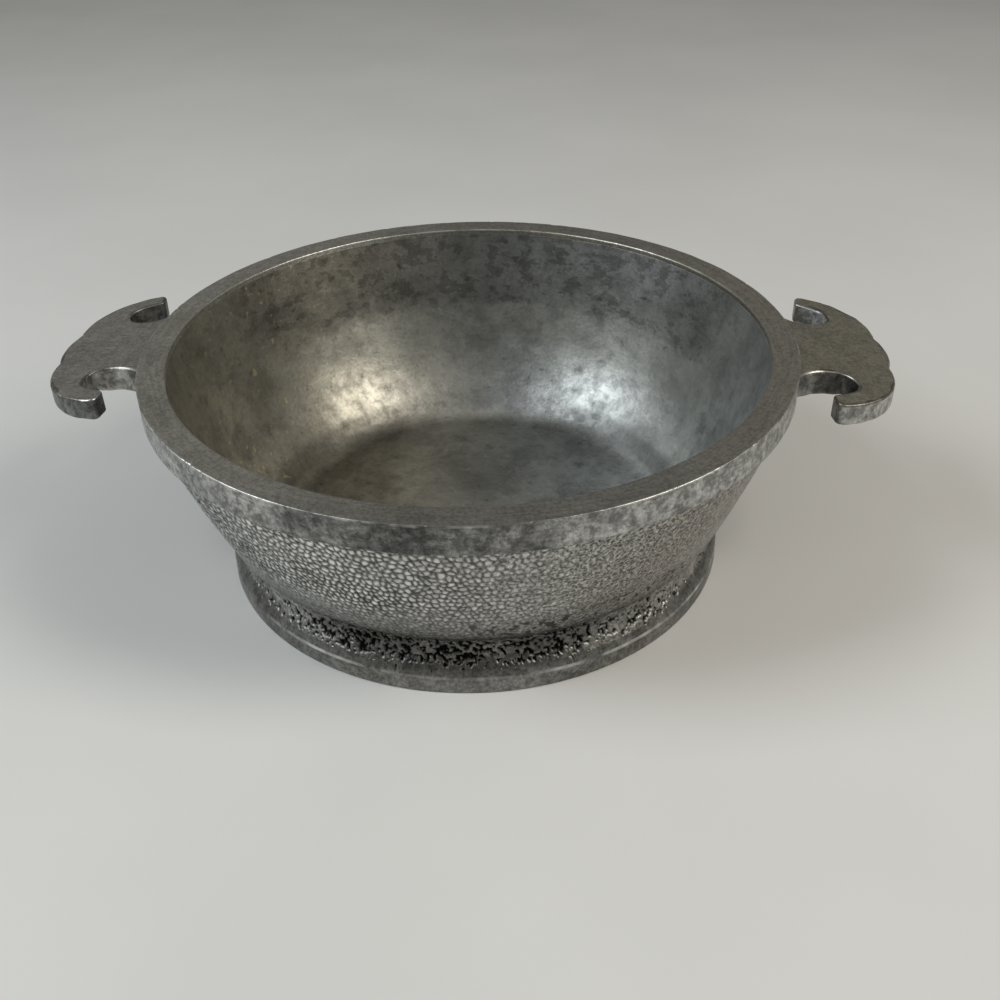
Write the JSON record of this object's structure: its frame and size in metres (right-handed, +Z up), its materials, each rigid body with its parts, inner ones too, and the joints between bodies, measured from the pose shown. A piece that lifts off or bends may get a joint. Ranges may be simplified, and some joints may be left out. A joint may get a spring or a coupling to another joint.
{
  "type": "sauce pot",
  "caption": "Cast aluminium sauce pot: hammered, tapering round bowl with a flat rim band, a coved foot ring and scalloped wing handles; cooks and serves sauces.",
  "frame": {"origin": "centre of the foot's flat underside, on the bowl's axis", "axes": "+Z up along the bowl's axis, +X towards the right handle"},
  "size_m": [0.2312, 0.18, 0.065],
  "materials": {
    "hammered_aluminium": "hammered cast wall, worn and tarnished, stained inside",
    "turned_aluminium": "turned, dull grey, finely scratched",
    "cast_aluminium": "rough cast cove with pits, smooth worn foot band",
    "left_handle_aluminium": "satin cast, worn smooth",
    "right_handle_aluminium": "satin cast, worn smooth"
  },
  "bodies": {
    "root": {"pot_body": "hammered_aluminium", "rim_band": "turned_aluminium", "foot_ring": "cast_aluminium", "left_handle": "left_handle_aluminium", "right_handle": "right_handle_aluminium"}
  },
  "joints": []
}
